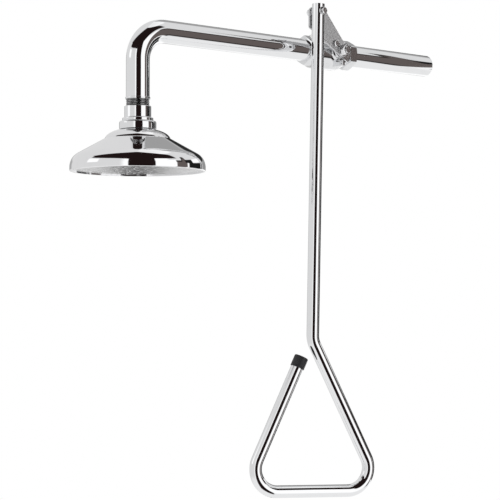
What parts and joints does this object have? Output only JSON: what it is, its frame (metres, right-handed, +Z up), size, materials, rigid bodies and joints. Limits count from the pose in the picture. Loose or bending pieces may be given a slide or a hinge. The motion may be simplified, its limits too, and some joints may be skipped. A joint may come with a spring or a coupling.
{
  "type": "emergency safety shower",
  "caption": "Wall-fed overhead deluge shower: bell-shaped spray head on a bent arm, stay-open ball valve, triangular lever and a rigid pull rod with a triangular handle.",
  "frame": {"origin": "centre of the inlet pipe's open end, on the pipe's centre line", "axes": "+Y along the inlet pipe, into the wall it is fed from; +Z up; +X the way the valve's stem points, to the side where the pull rod hangs"},
  "size_m": [0.192, 0.685, 0.7451],
  "materials": {
    "pipe_chrome": "polished",
    "rod_chrome": "polished",
    "head_chrome": "polished",
    "spray_steel": "satin",
    "valve_chrome": "polished casting",
    "fitting_chrome": "polished",
    "fastener_steel": "bright",
    "lever_steel": "satin",
    "ball_chrome": "polished",
    "seal_white": "matte",
    "seal_black": "matte",
    "cap_black": "matte"
  },
  "bodies": {
    "pipework": {"inlet_pipe": "pipe_chrome", "arm_pipe": "pipe_chrome", "valve_body": "valve_chrome", "valve_end": "valve_chrome", "body_seal": "seal_white", "ball_seats": "seal_white", "stem_packing": "seal_white", "gland_nut": "fastener_steel", "neck_ring": "fitting_chrome", "outlet_coupling": "fitting_chrome", "head_hub": "fitting_chrome", "hub_gasket": "seal_black", "hub_nut": "fastener_steel", "flow_washer": "seal_black", "head_dome": "head_chrome", "plate_seal": "seal_black", "spray_plate": "spray_steel"},
    "lever": {"valve_ball": "ball_chrome", "valve_stem": "fastener_steel", "drive_arm": "fastener_steel", "lever_plate": "lever_steel", "lever_screw": "fastener_steel", "stem_washer": "fastener_steel", "stem_nut": "fastener_steel"},
    "pull_rod": {"pull_rod": "rod_chrome", "rod_end_cap": "cap_black", "pivot_bolt": "fastener_steel", "pivot_washers": "fastener_steel", "pivot_nut": "fastener_steel"}
  },
  "joints": [
    {"name": "lever_turn", "type": "hinge", "parent": "pipework", "child": "lever", "pos_m": [0.0365, -0.224, 0], "axis": [1, 0, 0], "range_deg": [0, 90]},
    {"name": "rod_pivot", "type": "hinge", "parent": "lever", "child": "pull_rod", "pos_m": [0.0365, -0.28605, 0.05207], "axis": [1, 0, 0], "range_deg": [-90, 0]}
  ],
  "couplings": [
    {"joint": "rod_pivot", "follows": "lever_turn", "ratio": -1}
  ]
}
